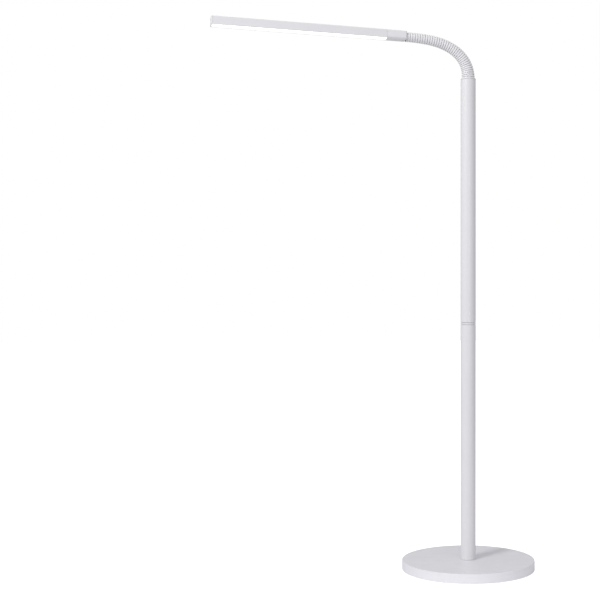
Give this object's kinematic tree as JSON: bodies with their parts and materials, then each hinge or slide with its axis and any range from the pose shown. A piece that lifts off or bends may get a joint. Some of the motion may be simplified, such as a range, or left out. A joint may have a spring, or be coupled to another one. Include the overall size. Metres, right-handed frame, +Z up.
{
  "type": "adjustable arm floor lamp",
  "caption": "Slim floor lamp: round weighted base, straight pole, ribbed gooseneck arm and a thin bar-shaped light head with an opal strip underneath.",
  "frame": {"origin": "on the floor under the middle of the round base, on the flat underside of the foam pad", "axes": "+Z up along the pole, the neck and the light bar lie in the XZ plane, the bar reaches out towards -X"},
  "size_m": [0.7247, 0.3013, 1.2045],
  "materials": {
    "white_enamel": "smooth semi-gloss white powder coat",
    "white_channel": "satin white coated aluminium",
    "white_sleeve": "soft white ribbed sleeve",
    "white_plastic": "fine satin white moulding",
    "opal_diffuser": "opal, lit from behind",
    "bright_steel": "plated steel",
    "cast_cement": "cast cement",
    "base_foam": "closed-cell foam pad",
    "grey_rubber": "light grey rubber",
    "board": "white solder mask",
    "switch_black": "black moulding",
    "lead_jacket": "soft lead jacket"
  },
  "bodies": {
    "stand": {"base_pad": "base_foam", "base_cover": "white_enamel", "ballast_plate": "cast_cement", "base_grommet": "grey_rubber", "pole_stud": "bright_steel", "stud_washer": "bright_steel", "stud_nut": "bright_steel", "pole_foot_plug": "bright_steel", "lower_pole": "white_enamel", "upper_pole": "white_enamel", "joint_ring": "white_enamel", "pole_joiner": "bright_steel", "pole_collar": "white_enamel", "neck_lock_nut": "bright_steel", "supply_lead": "lead_jacket", "neck_sleeve_01": "white_sleeve", "neck_core_01": "bright_steel"},
    "neck_link_02": {"neck_sleeve_02": "white_sleeve", "neck_core_02": "bright_steel"},
    "neck_link_03": {"neck_sleeve_03": "white_sleeve", "neck_core_03": "bright_steel"},
    "neck_link_04": {"neck_sleeve_04": "white_sleeve", "neck_core_04": "bright_steel"},
    "neck_link_05": {"neck_sleeve_05": "white_sleeve", "neck_core_05": "bright_steel"},
    "neck_link_06": {"neck_sleeve_06": "white_sleeve", "neck_core_06": "bright_steel"},
    "neck_link_07": {"neck_sleeve_07": "white_sleeve", "neck_core_07": "bright_steel"},
    "neck_link_08": {"neck_sleeve_08": "white_sleeve", "neck_core_08": "bright_steel"},
    "neck_link_09": {"neck_sleeve_09": "white_sleeve", "neck_core_09": "bright_steel"},
    "neck_link_10": {"neck_sleeve_10": "white_sleeve", "neck_core_10": "bright_steel"},
    "neck_link_11": {"neck_sleeve_11": "white_sleeve", "neck_core_11": "bright_steel"},
    "head": {"neck_sleeve_12": "white_sleeve", "neck_core_12": "bright_steel", "head_channel": "white_channel", "tip_cap": "white_plastic", "diffuser": "opal_diffuser", "led_board": "board", "head_holder": "white_plastic", "head_ferrule": "bright_steel", "neck_set_screw": "bright_steel", "holder_lid": "white_plastic", "lid_screw_1": "bright_steel", "lid_screw_2": "bright_steel", "driver_board": "board", "push_switch": "switch_black", "led_lead": "lead_jacket"},
    "button": {"power_button": "white_plastic"}
  },
  "joints": [
    {"name": "neck_lower_bend", "type": "hinge", "parent": "stand", "child": "neck_link_02", "pos_m": [-0.00096, 0, 1.12337], "axis": [0.004, -1, 0.0006], "range_deg": [-17, 12]},
    {"name": "neck_swing", "type": "hinge", "parent": "neck_link_02", "child": "neck_link_03", "pos_m": [-0.00476, 0, 1.13727], "axis": [0.9289, 0, 0.3703], "range_deg": [-9, 9]},
    {"name": "neck_lower_bend_2", "type": "hinge", "parent": "neck_link_03", "child": "neck_link_04", "pos_m": [-0.01175, 0, 1.15023], "axis": [0.0033, -1, 0.0023], "range_deg": [-17, 12]},
    {"name": "neck_swing_2", "type": "hinge", "parent": "neck_link_04", "child": "neck_link_05", "pos_m": [-0.02162, 0, 1.16158], "axis": [0.6824, 0, 0.731], "range_deg": [-9, 9]},
    {"name": "neck_lower_bend_3", "type": "hinge", "parent": "neck_link_05", "child": "neck_link_06", "pos_m": [-0.03381, 0, 1.17095], "axis": [0.0021, -1, 0.0034], "range_deg": [-17, 12]},
    {"name": "neck_swing_3", "type": "hinge", "parent": "neck_link_06", "child": "neck_link_07", "pos_m": [-0.04769, 0, 1.17826], "axis": [0.3989, 0, 0.917], "range_deg": [-9, 9]},
    {"name": "neck_upper_bend", "type": "hinge", "parent": "neck_link_07", "child": "neck_link_08", "pos_m": [-0.06276, 0, 1.18369], "axis": [0.0011, -1, 0.0038], "range_deg": [-7, 16]},
    {"name": "neck_swing_4", "type": "hinge", "parent": "neck_link_08", "child": "neck_link_09", "pos_m": [-0.07864, 0, 1.1875], "axis": [0.1882, 0, 0.9821], "range_deg": [-9, 9]},
    {"name": "neck_upper_bend_2", "type": "hinge", "parent": "neck_link_09", "child": "neck_link_10", "pos_m": [-0.09511, 0, 1.19], "axis": [0.0005, -1, 0.004], "range_deg": [-7, 16]},
    {"name": "neck_swing_5", "type": "hinge", "parent": "neck_link_10", "child": "neck_link_11", "pos_m": [-0.11202, 0, 1.19151], "axis": [0.0637, 0, 0.998], "range_deg": [-9, 9]},
    {"name": "neck_upper_bend_3", "type": "hinge", "parent": "neck_link_11", "child": "head", "pos_m": [-0.1293, 0, 1.19226], "axis": [0.0001, -1, 0.004], "range_deg": [-7, 16]},
    {"name": "power_button_press", "type": "slide", "parent": "head", "child": "button", "axis": [0, 0, -1], "range_m": [0, 0.0008], "stiffness_N_per_m": 400}
  ],
  "couplings": [
    {"joint": "neck_lower_bend_2", "follows": "neck_lower_bend", "ratio": 1},
    {"joint": "neck_lower_bend_3", "follows": "neck_lower_bend", "ratio": 1},
    {"joint": "neck_upper_bend_2", "follows": "neck_upper_bend", "ratio": 1},
    {"joint": "neck_upper_bend_3", "follows": "neck_upper_bend", "ratio": 1},
    {"joint": "neck_swing_2", "follows": "neck_swing", "ratio": 1},
    {"joint": "neck_swing_3", "follows": "neck_swing", "ratio": 1},
    {"joint": "neck_swing_4", "follows": "neck_swing", "ratio": 1},
    {"joint": "neck_swing_5", "follows": "neck_swing", "ratio": 1}
  ]
}
